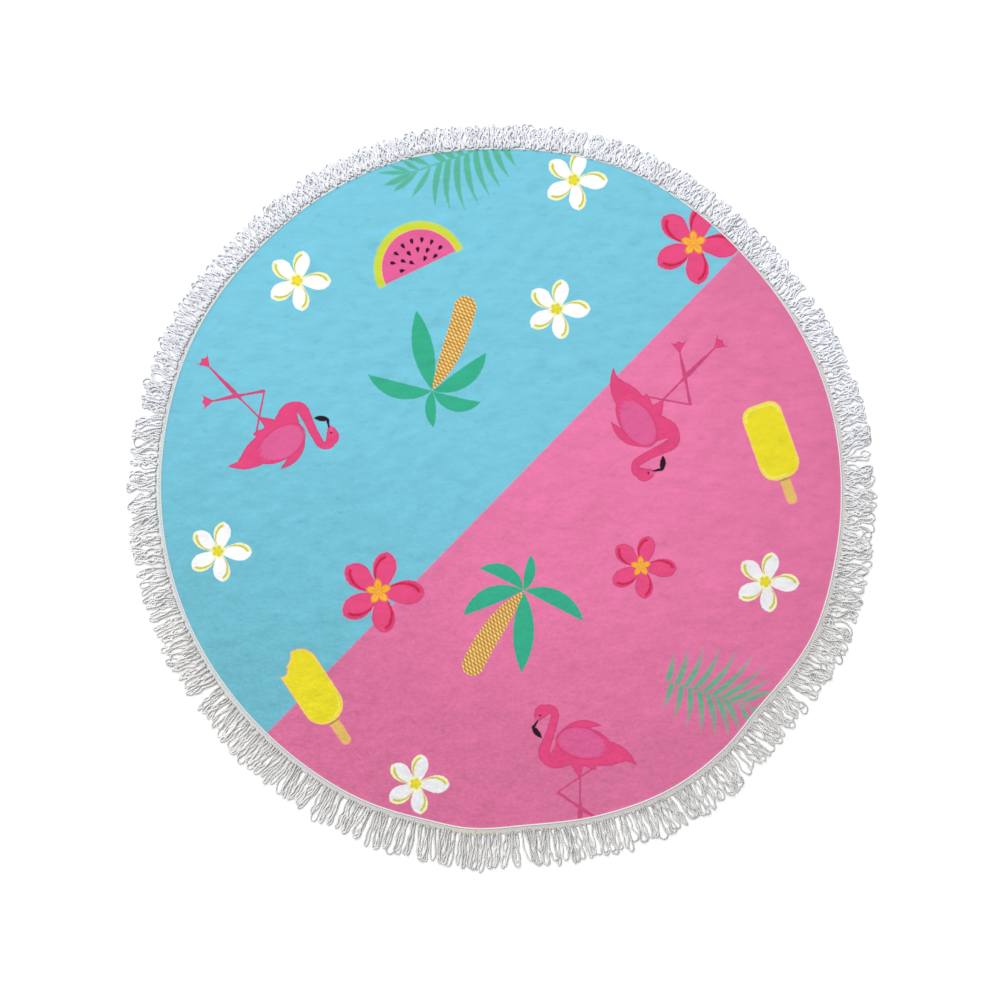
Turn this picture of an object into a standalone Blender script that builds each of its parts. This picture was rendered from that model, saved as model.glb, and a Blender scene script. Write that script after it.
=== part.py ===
"""Round beach towel laid out flat: a hemmed disc of cloth, and a looped fringe on its heading tape.

The origin is on the floor under the middle of the whole towel, +Z points up, and the fringe lies
shortest at +Y and longest at -Y. Both pieces lie on the plane z = 0. Run it with
blender --background --python part.py, or from Blender's text editor.
"""

import math
import random
from collections import namedtuple

import bmesh
import bpy

MM = 0.001

# Cloth
CLOTH_RADIUS = 0.683  # mean radius of the printed face, inside the hem
CLOTH_CENTRE = (-0.001, 0.0175)
CLOTH_THICK = 2.2 * MM
HEM_WIDTH = 3.0 * MM
HEM_HEIGHT = 3.0 * MM  # the rolled edge stands this high off the floor
HEM_SLOPE = 1.2 * MM  # width over which the cloth rises into the hem

# Heading tape of the fringe
SEAM_GAP = 0.3 * MM  # between the hem and the tape
TAPE_WIDTH = 11.0 * MM
TAPE_THICK = 1.6 * MM
JOIN_ANGLE = 264.5  # degrees: here the two ends of the tape lie over each other
JOIN_HALF_SPAN = 1.3  # degrees
JOIN_LIFT = 1.4 * MM

# Fringe: each strand is one flattened loop of yarn
STRANDS = 300
FRINGE_REACH = 0.0510  # mean reach past the tape
REACH_SWING = 0.0185  # it lies this much longer at -Y, and shorter at +Y
REACH_RAGGED = 4.0 * MM
LOOP_HALF_WIDTH = 6.0 * MM
ROOT_SHARE = 0.66  # share of the pitch that a root takes up
TIP_TAPER = 0.7  # width of a loop's top over that of its underside
CLUMP_SIZES = (3, 4, 5, 6, 7)
CLUMP_DRAW = 1.1 * MM  # how much closer together the tips in a clump stand than their roots
NOTCH_STRANDS = 7  # how many strands lean away on each side of a notch
SEED = 11

RimPoint = namedtuple("RimPoint", "angle_deg offset_mm")
Notch = namedtuple("Notch", "angle_deg opening_mm")
Section = namedtuple("Section", "share half_width_share height_mm")
Swell = namedtuple("Swell", "heading_deg length_mm rise_mm start_deg")
Ring = namedtuple("Ring", "radius_share segments")

# Where the edge strays from a true circle, going round from +X towards +Y
RIM = [
    RimPoint(0, 1.0),
    RimPoint(15, 0.0),
    RimPoint(30, -4.5),
    RimPoint(42, -6.5),
    RimPoint(55, -2.0),
    RimPoint(68, 5.0),
    RimPoint(80, 1.5),
    RimPoint(92, -0.5),
    RimPoint(107, 6.0),
    RimPoint(120, 5.0),
    RimPoint(135, 1.5),
    RimPoint(153, 3.5),
    RimPoint(170, 0.0),
    RimPoint(182, -1.0),
    RimPoint(203, -2.0),
    RimPoint(217, -4.0),
    RimPoint(232, -3.5),
    RimPoint(246, 0.0),
    RimPoint(257, -2.5),
    RimPoint(265, 1.0),
    RimPoint(275, -6.0),
    RimPoint(287, 2.0),
    RimPoint(300, 9.5),
    RimPoint(311, 5.0),
    RimPoint(320, -4.0),
    RimPoint(335, 9.0),
    RimPoint(347, 4.0),
]

# The cloth's top rises and falls in a few long, low swells, because the towel isn't pressed
SWELLS = [
    Swell(84, 330, 0.22, 40),
    Swell(-18, 470, 0.20, 110),
    Swell(41, 250, 0.14, 0),
]

# Rings of points on the two faces of the cloth, from the hem inwards
TOP_RINGS = [
    Ring(0.93, 60),
    Ring(0.82, 60),
    Ring(0.69, 60),
    Ring(0.56, 60),
    Ring(0.43, 60),
    Ring(0.30, 60),
    Ring(0.16, 12),
]
UNDER_RINGS = [
    Ring(0.86, 60),
    Ring(0.42, 12),
]

# Where the loops part and leave a V open at their tips
NOTCHES = [
    Notch(22, 9),
    Notch(33, 13),
    Notch(138, 10),
    Notch(180, 8),
    Notch(215, 11),
    Notch(249, 8),
    Notch(272, 13),
    Notch(320, 12),
    Notch(343, 12),
]

# Along a strand, from just past the tape to its rounded end
SECTIONS = [
    Section(0.30, 0.92, 4.4),
    Section(0.88, 1.00, 5.0),
    Section(1.00, 0.50, 3.2),
]

CLOTH_LOOK = ("towel_cloth", (0.42, 0.42, 0.66), 0.95)
FRINGE_LOOK = ("fringe_yarn", (0.83, 0.83, 0.82), 0.85)


def clear_scene():
    for obj in list(bpy.data.objects):
        bpy.data.objects.remove(obj)


def material(look):
    name, colour, roughness = look
    made = bpy.data.materials.new(name)
    made.use_nodes = True
    shader = made.node_tree.nodes["Principled BSDF"]
    shader.inputs["Base Color"].default_value = (*colour, 1.0)
    shader.inputs["Roughness"].default_value = roughness
    shader.inputs["Metallic"].default_value = 0.0
    return made


def smooth_through(before, start, end, after, t):
    """Catmull-Rom value at t, from 0 to 1, between start and end."""
    slope_in = (end - before) / 2
    slope_out = (after - start) / 2
    return (
        start * (2 * t**3 - 3 * t**2 + 1)
        + slope_in * (t**3 - 2 * t**2 + t)
        + end * (3 * t**2 - 2 * t**3)
        + slope_out * (t**3 - t**2)
    )


def rim_radius(angle_deg):
    """Radius of the printed face at an angle, through the rim's table."""
    angle = angle_deg % 360
    after = next((i for i, p in enumerate(RIM) if p.angle_deg > angle), len(RIM))
    around = [RIM[(after + k) % len(RIM)] for k in (-2, -1, 0, 1)]
    start, end = around[1], around[2]
    span = (end.angle_deg - start.angle_deg) % 360
    t = ((angle - start.angle_deg) % 360) / span
    offset = smooth_through(*[p.offset_mm for p in around], t)
    return CLOTH_RADIUS + offset * MM


def polar(radius, angle_deg, z, sideways=0.0):
    """A point at a radius and angle about the cloth's centre, moved sideways along the rim."""
    angle = math.radians(angle_deg)
    return (
        CLOTH_CENTRE[0] + radius * math.cos(angle) - sideways * math.sin(angle),
        CLOTH_CENTRE[1] + radius * math.sin(angle) + sideways * math.cos(angle),
        z,
    )


def swell_height(x, y):
    """How far the cloth's top stands above its mean height."""
    rise = 0.0
    for swell in SWELLS:
        heading = math.radians(swell.heading_deg)
        along = x * math.cos(heading) + y * math.sin(heading)
        phase = math.radians(swell.start_deg) + math.tau * along / (swell.length_mm * MM)
        rise += swell.rise_mm * MM * math.sin(phase)
    return rise


def finish(bm, name, look):
    """Makes the object of a bmesh, shaded smooth but for its sharp edges."""
    bmesh.ops.recalc_face_normals(bm, faces=bm.faces[:])
    mesh = bpy.data.meshes.new(name)
    bm.to_mesh(mesh)
    bm.free()
    mesh.materials.append(material(look))
    mesh.shade_smooth()
    mesh.set_sharp_from_angle(angle=math.radians(40))
    obj = bpy.data.objects.new(name, mesh)
    bpy.context.scene.collection.objects.link(obj)
    return obj


def fill_face(bm, outer, rings, height_at):
    """Covers a disc with triangles, from its outer points through coarser and coarser rings."""
    for ring in rings:
        inner = []
        for i in range(ring.segments):
            angle = 360 * i / ring.segments
            x, y, _ = polar(ring.radius_share * rim_radius(angle), angle, 0.0)
            inner.append(bm.verts.new((x, y, height_at(x, y))))
        each = len(outer) // len(inner)
        for i in range(len(inner)):
            following = inner[(i + 1) % len(inner)]
            halfway = (each + 1) // 2
            run = [outer[(i * each + k) % len(outer)] for k in range(each + 1)]
            for k in range(each):
                apex = inner[i] if k < halfway else following
                bm.faces.new((apex, run[k], run[k + 1]))
            bm.faces.new((inner[i], run[halfway], following))
        outer = inner
    middle = bm.verts.new((*CLOTH_CENTRE, height_at(*CLOTH_CENTRE)))
    for i in range(len(outer)):
        bm.faces.new((middle, outer[i], outer[(i + 1) % len(outer)]))


def make_cloth():
    """The disc: flat below, gently uneven above, with its edge turned up into a rolled hem."""
    hem_profile = [  # (distance past the printed face, height)
        (HEM_WIDTH, 0.0),
        (HEM_WIDTH, 0.6 * HEM_HEIGHT),
        (0.55 * HEM_WIDTH, HEM_HEIGHT),
        (-HEM_SLOPE, CLOTH_THICK),
    ]
    bm = bmesh.new()
    rings = []
    for past, height in hem_profile:
        ring = []
        for i in range(STRANDS):
            angle = 360 * i / STRANDS
            ring.append(bm.verts.new(polar(rim_radius(angle) + past, angle, height)))
        rings.append(ring)
    for lower, upper in zip(rings, rings[1:]):
        for i in range(STRANDS):
            j = (i + 1) % STRANDS
            bm.faces.new((lower[i], lower[j], upper[j], upper[i]))
    fill_face(bm, rings[0], UNDER_RINGS, lambda x, y: 0.0)
    fill_face(bm, rings[-1], TOP_RINGS, lambda x, y: CLOTH_THICK + swell_height(x, y))
    return finish(bm, "towel_cloth", CLOTH_LOOK)


def clump_lean(chance):
    """Sideways shift of each strand's tip, as the loops are drawn together in small clumps."""
    shifts = []
    while len(shifts) < STRANDS:
        size = min(chance.choice(CLUMP_SIZES), STRANDS - len(shifts))
        shifts += [CLUMP_DRAW * ((size - 1) / 2 - k) for k in range(size)]
    return shifts


def notch_lean(strand):
    """Sideways shift of a strand's tip away from the notches near it."""
    shift = 0.0
    for notch in NOTCHES:
        place = round(notch.angle_deg / 360 * STRANDS) - 0.5
        away = (strand - place + STRANDS / 2) % STRANDS - STRANDS / 2
        pull = max(0.0, 1 - abs(away) / NOTCH_STRANDS)
        shift += math.copysign(notch.opening_mm * MM / 2 * pull, away)
    return shift


def reach(angle_deg, chance):
    """How far a strand reaches past the tape."""
    swing = REACH_SWING * math.sin(math.radians(angle_deg))
    return FRINGE_REACH - swing + chance.uniform(-REACH_RAGGED, REACH_RAGGED)


def tape_top(angle_deg):
    """Height of the tape, which is doubled where its ends meet."""
    away = abs((angle_deg - JOIN_ANGLE + 180) % 360 - 180)
    return TAPE_THICK + (JOIN_LIFT if away < JOIN_HALF_SPAN else 0.0)


def tape_pair(bm, angle, past):
    """The tape's lower and upper point at an angle, at a distance past its inner edge."""
    radius = rim_radius(angle) + HEM_WIDTH + SEAM_GAP + past
    low = bm.verts.new(polar(radius, angle, 0.0))
    high = bm.verts.new(polar(radius, angle, tape_top(angle)))
    return low, high


def draw_strand(bm, root, angle, length, lean):
    """Carries a strand's four-sided section from its root to its tip, level on the floor."""
    base = rim_radius(angle) + HEM_WIDTH + SEAM_GAP + TAPE_WIDTH
    last = root
    for section in SECTIONS:
        radius = base + section.share * length
        half = section.half_width_share * LOOP_HALF_WIDTH
        side = lean * section.share**1.5
        height = section.height_mm * MM
        corners = [
            (0.0, side - half),
            (0.0, side + half),
            (height, side + TIP_TAPER * half),
            (height, side - TIP_TAPER * half),
        ]
        ring = [bm.verts.new(polar(radius, angle, z, sideways)) for z, sideways in corners]
        for k in range(4):
            bm.faces.new((last[k], last[(k + 1) % 4], ring[(k + 1) % 4], ring[k]))
        last = ring
    bm.faces.new(last)


def make_fringe():
    """One woven piece: the tape, and a strand drawn out of its outer wall for each loop."""
    bm = bmesh.new()
    chance = random.Random(SEED)
    leans = clump_lean(chance)
    pitch = 360 / STRANDS
    inset = pitch * (1 - ROOT_SHARE) / 2
    inner = [tape_pair(bm, i * pitch, 0.0) for i in range(STRANDS)]
    starts = [tape_pair(bm, i * pitch + inset, TAPE_WIDTH) for i in range(STRANDS)]
    ends = [tape_pair(bm, (i + 1) * pitch - inset, TAPE_WIDTH) for i in range(STRANDS)]
    for i in range(STRANDS):
        j = (i + 1) % STRANDS
        bm.faces.new((inner[i][0], inner[i][1], inner[j][1], inner[j][0]))
        bm.faces.new((ends[i][0], starts[j][0], starts[j][1], ends[i][1]))
        for level in (0, 1):
            bm.faces.new([pair[level] for pair in (inner[i], starts[i], ends[i], inner[j])])
            bm.faces.new([pair[level] for pair in (inner[j], ends[i], starts[j])])
        root = [starts[i][0], ends[i][0], ends[i][1], starts[i][1]]
        middle = (i + 0.5) * pitch
        draw_strand(bm, root, middle, reach(middle, chance), leans[i] + notch_lean(i))
    return finish(bm, "looped_fringe", FRINGE_LOOK)


clear_scene()
make_cloth()
make_fringe()
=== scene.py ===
"""The looks of a round beach towel: printed pile cloth, its sewn edge, and a fringe of yarn loops.

The towel lies flat on a pale floor, seen from straight above. Lengths named MM or _mm are in
millimetres and all others in metres. Angles go anticlockwise from +X about the cloth's centre.
"""

import math
from collections import namedtuple

import bpy
import numpy as np
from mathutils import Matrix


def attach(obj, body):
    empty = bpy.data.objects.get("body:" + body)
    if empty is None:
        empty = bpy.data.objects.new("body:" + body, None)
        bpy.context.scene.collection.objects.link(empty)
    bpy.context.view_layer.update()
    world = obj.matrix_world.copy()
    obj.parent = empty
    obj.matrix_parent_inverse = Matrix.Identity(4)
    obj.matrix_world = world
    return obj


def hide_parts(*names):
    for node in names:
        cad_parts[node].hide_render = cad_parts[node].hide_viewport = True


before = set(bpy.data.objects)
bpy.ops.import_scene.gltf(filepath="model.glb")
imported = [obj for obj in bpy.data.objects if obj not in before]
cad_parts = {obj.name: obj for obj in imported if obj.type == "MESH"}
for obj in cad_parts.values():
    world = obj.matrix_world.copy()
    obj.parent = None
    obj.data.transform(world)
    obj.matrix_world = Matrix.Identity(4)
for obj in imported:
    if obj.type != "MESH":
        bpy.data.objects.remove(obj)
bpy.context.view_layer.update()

bl_info = {
    "name": "Round Beach Towel",
    "version": (1, 0, 0),
    "blender": (4, 5, 0),
    "location": "3D View > Sidebar > Towel",
    "description": "Makes a round printed beach towel with a looped fringe",
    "category": "Add Mesh",
}

MM = 0.001
TAU = math.tau

# Sizes that the part's solids have too
CLOTH_RADIUS = 0.683
CLOTH_CENTRE = (-0.001, 0.0175)
CLOTH_THICK = 2.2 * MM
HEM_WIDTH = 3.0 * MM
SEAM_GAP = 0.3 * MM
TAPE_WIDTH = 11.0 * MM
TAPE_THICK = 1.6 * MM
TAPE_START = HEM_WIDTH + SEAM_GAP
JOIN_ANGLE = 264.5
JOIN_HALF_SPAN = 1.3
FRINGE_REACH = 0.0510  # of the loops past the tape, at the towel's sides
REACH_SWING = 0.0185  # so much less at its top, and more at its bottom
NOTCH_SPAN = 8.4  # degrees over which the loops lean away from a notch

# Steps and sizes that only the looks have
TAPE_STEPS = 1200
RIB_POINTS = 15  # across the tape
LAP_STEPS = 24
LAP_THICK = 1.3 * MM
SEAM_ROWS_MM = (2.2, 8.6)  # from the tape's inner edge
STITCH_SIDES = 4
LOOP_STEPS = 72
LOOP_SIDES = 6
TWIST_MM = 9.5  # length of yarn that turns once
TIP_BLUNT = 0.05  # the more of it, the broader the loops' tips
CLUMP_DEG = (3.0, 8.5)  # least and most that a clump spans
CLUMP_DRAWS = 120  # enough spans to go right round
CLUMP_PULL_MM = 1.1  # lean for each degree that a loop stands from its clump's middle
DRIFT_STEP_DEG = 2.8
LAYER_MM = 1.7  # between loops that lie on each other
FLOOR_HALF = 40.0

STAGE_LIGHT = 1.2  # how bright the stage shows a white that faces up
MIX_LOW, MIX_HIGH, MIX_RESULT = 6, 7, 2  # a Mix node's sockets for two colours, and its output

Swell = namedtuple("Swell", "heading_deg length_mm rise_mm start_deg")
Box = namedtuple("Box", "left right low high")
Ring = namedtuple("Ring", "radius_mm seeds spacing_deg middle_deg")
Lie = namedtuple("Lie", "angle_deg crowd curl open_mm cover_mm stray_mm bright")
Leaf = namedtuple("Leaf", "start end left right")
Line = namedtuple("Line", "start end half_start half_end")
Drawing = namedtuple("Drawing", "function reach")

# Where the edge strays from a true circle: degrees, and millimetres outwards
RIM = [
    (0, 1.0), (15, 0.0), (30, -4.5), (42, -6.5), (55, -2.0), (68, 5.0), (80, 1.5),
    (92, -0.5), (107, 6.0), (120, 5.0), (135, 1.5), (153, 3.5), (170, 0.0), (182, -1.0),
    (203, -2.0), (217, -4.0), (232, -3.5), (246, 0.0), (257, -2.5), (265, 1.0), (275, -6.0),
    (287, 2.0), (300, 9.5), (311, 5.0), (320, -4.0), (335, 9.0), (347, 4.0),
]

# Long, low swells of the lying cloth
SWELLS = [Swell(84, 330, 0.22, 40), Swell(-18, 470, 0.20, 110), Swell(41, 250, 0.14, 0)]

# Where the fringe parts: degrees, and millimetres between its two sides
NOTCHES = [(22, 9), (33, 13), (138, 10), (180, 8), (215, 11), (249, 8), (272, 13), (320, 12), (343, 12)]

# How the loops lie round the towel: how close, how curly, how wide, how far they cover the tape,
# how far their tips stray to a side, and their brightness, which is painted light and shade of each side of
# the fringe
LIES = [
    Lie(0, 1.00, 0.55, 10.5, 5.0, 24, 0.85),
    Lie(25, 1.10, 0.65, 9.0, 5.0, 20, 0.80),
    Lie(50, 1.30, 0.85, 6.5, 9.0, 12, 0.68),
    Lie(90, 1.45, 1.00, 5.5, 12.0, 9, 0.66),
    Lie(130, 1.30, 0.85, 6.0, 9.0, 10, 0.65),
    Lie(158, 1.12, 0.60, 7.0, 4.5, 16, 0.71),
    Lie(180, 0.90, 0.50, 9.5, 2.5, 26, 0.86),
    Lie(205, 0.85, 0.38, 9.5, 4.0, 18, 0.88),
    Lie(225, 0.80, 0.22, 10.5, 2.5, 11, 0.86),
    Lie(270, 0.78, 0.20, 12.0, 3.0, 12, 0.82),
    Lie(300, 0.78, 0.27, 13.0, 3.0, 15, 0.78),
    Lie(320, 0.82, 0.34, 12.0, 3.5, 18, 0.81),
    Lie(342, 0.92, 0.48, 11.5, 4.5, 22, 0.84),
]

# The rolled hem, from the printed face over the edge to the floor: how far past, and how high
HEM_PAST = np.array([-0.3, 0.2, 0.8, 1.65, 2.5, 3.0, 3.0, 2.6]) * MM
HEM_HEIGHT = np.array([2.2, 2.55, 2.85, 3.0, 2.7, 1.8, 0.7, 0.0]) * MM
HEM_TOP = 6  # the points as far as its outer side

# Print, in a motif's own millimetres
PRINT_SOFT = 1.6  # width of the soft edge that a print has in the pile
FLOWER_PETALS = 5
FLOWER_PETAL = 60.5  # length
FLOWER_STRETCH = 0.085  # petals that point sideways are larger by this share
FROND_PITCH = 19.0
FROND_DROOP = 0.0028
ICE_HALF_WIDE = 42.0
MELON_FLESH = 77.5
MELON_RIND = 94.5
SEED_RINGS = [Ring(20, 2, 85, 82.5), Ring(37, 6, 30, 88.5), Ring(56, 7, 20.7, 83)]
PALM_LEAVES = [
    Leaf((-1, 2), (-89, 45), -1, 30),
    Leaf((-1, 1), (-122, -49), 3, 33),
    Leaf((0, 1), (14, 73), 6, 16),
    Leaf((1, 1), (119, -60), 32, 0.5),
    Leaf((0, -2), (-5, -163), 23, 19),
]
TRUNK = Leaf((0, 0), (-102.5, -148.5), -7, 21.5)  # its middle line's ends and bow, its half-width
BARK_WAVES = [(0.0835, 0.1243), (0.1437, 0.0293)]  # waves a millimetre to the right and upwards
FLAMINGO_BACK = Leaf((-60, -4), (33, 41), 32, -9)
FLAMINGO_NOTCH = Leaf((-71, -15), (-56, 24), 3.2, 3.2)  # between the neck and the chest
FLAMINGO_BILL = Leaf((-107, 41), (-87, 17), 5, 6.5)
FLAMINGO_TAIL = [
    Leaf((22, 12), (104, -38), 16.5, 4),
    Leaf((60, -8), (93, -32), 3, 6),
    Leaf((8, -35), (84, -25), 6, 9),
]
FLAMINGO_NECK = [Line((-61, 58), (-67, 35), 8.6, 8.8), Line((-67, 35), (-80, 0), 8.8, 10.4)]
FLAMINGO_THIGHS = [Line((-15, -38), (-11, -60), 13, 2.2), Line((10, -38), (19, -43.5), 7, 4)]
FLAMINGO_LEGS = [
    Line((-10, -40), (-10, -114), 2.1, 1.9),
    Line((-10, -112), (-10, -134), 2.6, 5.0),
    Line((-10, -134), (-11, -208), 5.0, 1.5),
    Line((16, -44), (-55, -92), 2.1, 1.9),
    Line((-54, -93), (-22, -115), 3.4, 2.3),
    Line((-22, -115), (-5, -127), 2.6, 4.6),
    Line((-5, -127), (34, -152), 4.6, 1.5),
]
FROND_TIP = [
    Leaf((10, 0), (-53, 22), 4, 4),
    Leaf((12, 0), (-49, -6), 8, 5),
    Leaf((12, 0), (-28, 30), 4, 4),
    Leaf((24, 0), (-36, -23), 8, 3),
    Leaf((28, 0), (2, 31), 6, 3),
]
FROND_TIP_PAIR = Leaf((52, 0), (-5, 46), 3, 8)  # on both sides of the rib

# Where the motifs lie on the cloth: x and y in millimetres, degrees of turn, and scale
MOTIFS = {
    "white_flower": [(-407, 435, 0, 1.0), (149, 637, 0, 1.0), (114, 378, 1, 1.0), (-566, -109, 0, 1.0)],
    "shaded_flower": [(-169, -576, 0, 1.0), (534, -170, -2, 1.0)],
    "pink_flower": [(391, 509, -3, 1.33), (-242, -191, 0, 1.35), (284, -140, -2, 1.05)],
    "open_frond": [(-190, 649, 19, 1.0)],
    "frond": [(529, -431, 162, 1.0)],
    "palm": [(-138, 215.5, -167, 1.0), (46, -188, 0, 1.0)],
    "flamingo": [(-449.3, 110, 225, 1.0), (274.5, 158.9, 135.5, 1.02), (169, -500, 0, 1.0)],
    "melon": [(-161.5, 461.5, 25.4, 1.0)],
    "lolly": [(543, 113, 19.6, 1.0)],
    "bitten_lolly": [(-380, -383, 33.5, 1.0)],
}


# ---------------------------------------------------------------- shapes


def rim_radius(angle):
    """Radius of the printed face at angles in radians: a Catmull-Rom curve through RIM."""
    at, offset = np.array(RIM, float).T
    turned = np.degrees(angle) % 360
    here = np.searchsorted(at, turned, side="right") - 1
    after = (here + 1) % len(RIM)
    start, end = offset[here], offset[after]
    slope_in = (end - offset[here - 1]) / 2
    slope_out = (offset[(here + 2) % len(RIM)] - start) / 2
    t = (turned - at[here]) / ((at[after] - at[here]) % 360)
    rise = (
        start * (2 * t**3 - 3 * t**2 + 1)
        + slope_in * (t**3 - 2 * t**2 + t)
        + end * (3 * t**2 - 2 * t**3)
        + slope_out * (t**3 - t**2)
    )
    return CLOTH_RADIUS + rise * MM


def polar(radius, angle, z, sideways=0.0):
    """Points at a radius and angle about the cloth's centre, moved sideways along the rim."""
    x = CLOTH_CENTRE[0] + radius * np.cos(angle) - sideways * np.sin(angle)
    y = CLOTH_CENTRE[1] + radius * np.sin(angle) + sideways * np.cos(angle)
    return np.stack(np.broadcast_arrays(x, y, z), axis=-1)


def smooth_step(low, high, value):
    """0 below low, 1 above high, and 3t^2 - 2t^3 between them."""
    t = np.clip((value - low) / (high - low), 0, 1)
    return t * t * (3 - 2 * t)


def disc_grid(cells):
    """A square grid pressed into a unit disc: (radius, angle) of its points.

    The larger of a point's two coordinates becomes its radius, and their ratio becomes its
    angle within that quarter, so the grid's border becomes evenly spaced points on the circle.
    """
    line = np.linspace(-1, 1, cells + 1)
    a, b = np.meshgrid(line, line)
    wide = np.abs(a) > np.abs(b)
    reach = np.where(wide, a, b)
    other = np.where(wide, b, a)
    share = np.divide(other, reach, out=np.zeros_like(a), where=reach != 0)
    angle = np.where(wide, share, 2 - share) * math.pi / 4
    return np.abs(reach), angle + np.where(reach < 0, math.pi, 0)


def grid_quads(rows, columns, around=False):
    """Quads between neighbouring points of a grid, joined up again past its last column if around."""
    across = columns if around else columns - 1
    row = np.arange(rows - 1)[:, None] * columns
    column = np.arange(across)[None]
    following = (column + 1) % columns
    corners = [row + column, row + following, row + columns + following, row + columns + column]
    return np.stack(np.broadcast_arrays(*corners), axis=-1).reshape(-1, 4)


def grid_border(cells):
    """The border points of a disc grid, anticlockwise from -45 degrees."""
    place = np.arange((cells + 1) ** 2).reshape(cells + 1, cells + 1)
    return np.concatenate([place[:-1, -1], place[-1, :0:-1], place[:0:-1, 0], place[0, :-1]])


def make_mesh(name, points, faces, materials, slots=None, maps=None, tones=None):
    """A mesh object at the origin.

    faces is a list of arrays with one row of point numbers a face. slots gives each face's
    material slot, maps the UV maps' values at the first corners, the others' being 0, and tones
    one number a point.
    """
    mesh = bpy.data.meshes.new(name)
    for material in materials:
        mesh.materials.append(material)
    sizes = np.concatenate([np.full(len(f), f.shape[1]) for f in faces])
    corners = np.concatenate([f.ravel() for f in faces]).astype(np.int32)
    mesh.vertices.add(len(points))
    mesh.vertices.foreach_set("co", np.ascontiguousarray(points, np.float32).ravel())
    mesh.loops.add(len(corners))
    mesh.loops.foreach_set("vertex_index", corners)
    mesh.polygons.add(len(sizes))
    mesh.polygons.foreach_set("loop_start", (np.cumsum(sizes) - sizes).astype(np.int32))
    if slots is not None:
        mesh.polygons.foreach_set("material_index", slots.astype(np.int32))
    for map_name, values in (maps or {}).items():
        whole = np.zeros((len(corners), 2), np.float32)
        whole[: len(values)] = values
        mesh.uv_layers.new(name=map_name).data.foreach_set("uv", whole.ravel())
    if tones is not None:
        mesh.attributes.new("tone", "FLOAT", "POINT").data.foreach_set("value", tones)
    mesh.update(calc_edges=True)
    mesh.validate()
    mesh.shade_smooth()
    obj = bpy.data.objects.new(name, mesh)
    bpy.context.scene.collection.objects.link(obj)
    return obj


def make_strands(name, paths, half_wide, half_thick, sides, material, twist_mm=None, tones=None):
    """Strands: an oval section carried along many paths at once, with closed ends.

    paths is (strand, step, xyz), and tones (strand, step). The section stands square to the path,
    with its wide axis level unless it turns once for every twist_mm of length. The map holds the
    length along the strand in millimetres and the share of the way round it.
    """
    strands, steps, _ = paths.shape
    way = np.gradient(paths, axis=1)
    way /= np.linalg.norm(way, axis=2, keepdims=True) + 1e-12
    level = np.cross(way, (0.0, 0.0, 1.0))
    level /= np.linalg.norm(level, axis=2, keepdims=True) + 1e-9
    upward = np.cross(level, way)
    gone = np.linalg.norm(np.diff(paths, axis=1), axis=2)
    length = np.concatenate([np.zeros((strands, 1)), np.cumsum(gone, axis=1)], axis=1) / MM
    turn = TAU * (np.arange(sides) + 0.5) / sides
    wide, thick = half_wide * np.cos(turn), half_thick * np.sin(turn)
    spin = (TAU * length / twist_mm if twist_mm else np.zeros_like(length))[:, :, None]
    aside = wide * np.cos(spin) - thick * np.sin(spin)
    rise = wide * np.sin(spin) + thick * np.cos(spin)
    ring = (
        paths[:, :, None]
        + level[:, :, None] * aside[..., None]
        + upward[:, :, None] * rise[..., None]
    )
    one = grid_quads(steps, sides, around=True)[:, ::-1]
    start = (np.arange(strands) * steps * sides)[:, None, None]
    quads = (start + one[None]).reshape(-1, 4)
    first = start[:, :, 0] + np.arange(sides)
    last = start[:, :, 0] + (steps - 1) * sides + np.arange(sides)[::-1]

    step, side = one // sides, one % sides
    wraps = (side.max(axis=1, keepdims=True) - side.min(axis=1, keepdims=True) > 1) & (side == 0)
    share = np.broadcast_to((side + wraps * sides) / sides, (strands, *side.shape))
    yarn_map = np.stack([length[:, step], share], axis=-1).reshape(-1, 2)
    if tones is not None:
        tones = np.repeat(tones.ravel(), sides)
    faces = [quads, first, last]
    return make_mesh(name, ring.reshape(-1, 3), faces, [material], maps={"yarn": yarn_map}, tones=tones)


def ripples(x, y, seed, count, lengths, spread_deg, slope):
    """Soft unevenness: a sum of plane waves with chance headings about +Y, all of a like slope."""
    chance = np.random.default_rng(seed)
    length = np.exp(chance.uniform(math.log(lengths[0]), math.log(lengths[1]), count))
    heading = math.pi / 2 + np.radians(spread_deg) * chance.standard_normal(count)
    phase = chance.uniform(0, TAU, count)
    height = np.zeros_like(x)
    for size, way, start in zip(length, heading, phase):
        along = x * math.cos(way) + y * math.sin(way)
        height += slope * size / TAU * np.sin(TAU * along / size + start)
    return height


# ---------------------------------------------------------------- shader maths


def two_sided(operation):
    """An operator's method and its reflected form."""

    def plain(self, other):
        return self.maths(operation, self, other)

    def reflected(self, other):
        return self.maths(operation, other, self)

    return plain, reflected


def one_sided(operation):
    """The method for an operation on one value."""

    def method(self):
        return self.maths(operation, self)

    return method


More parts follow.
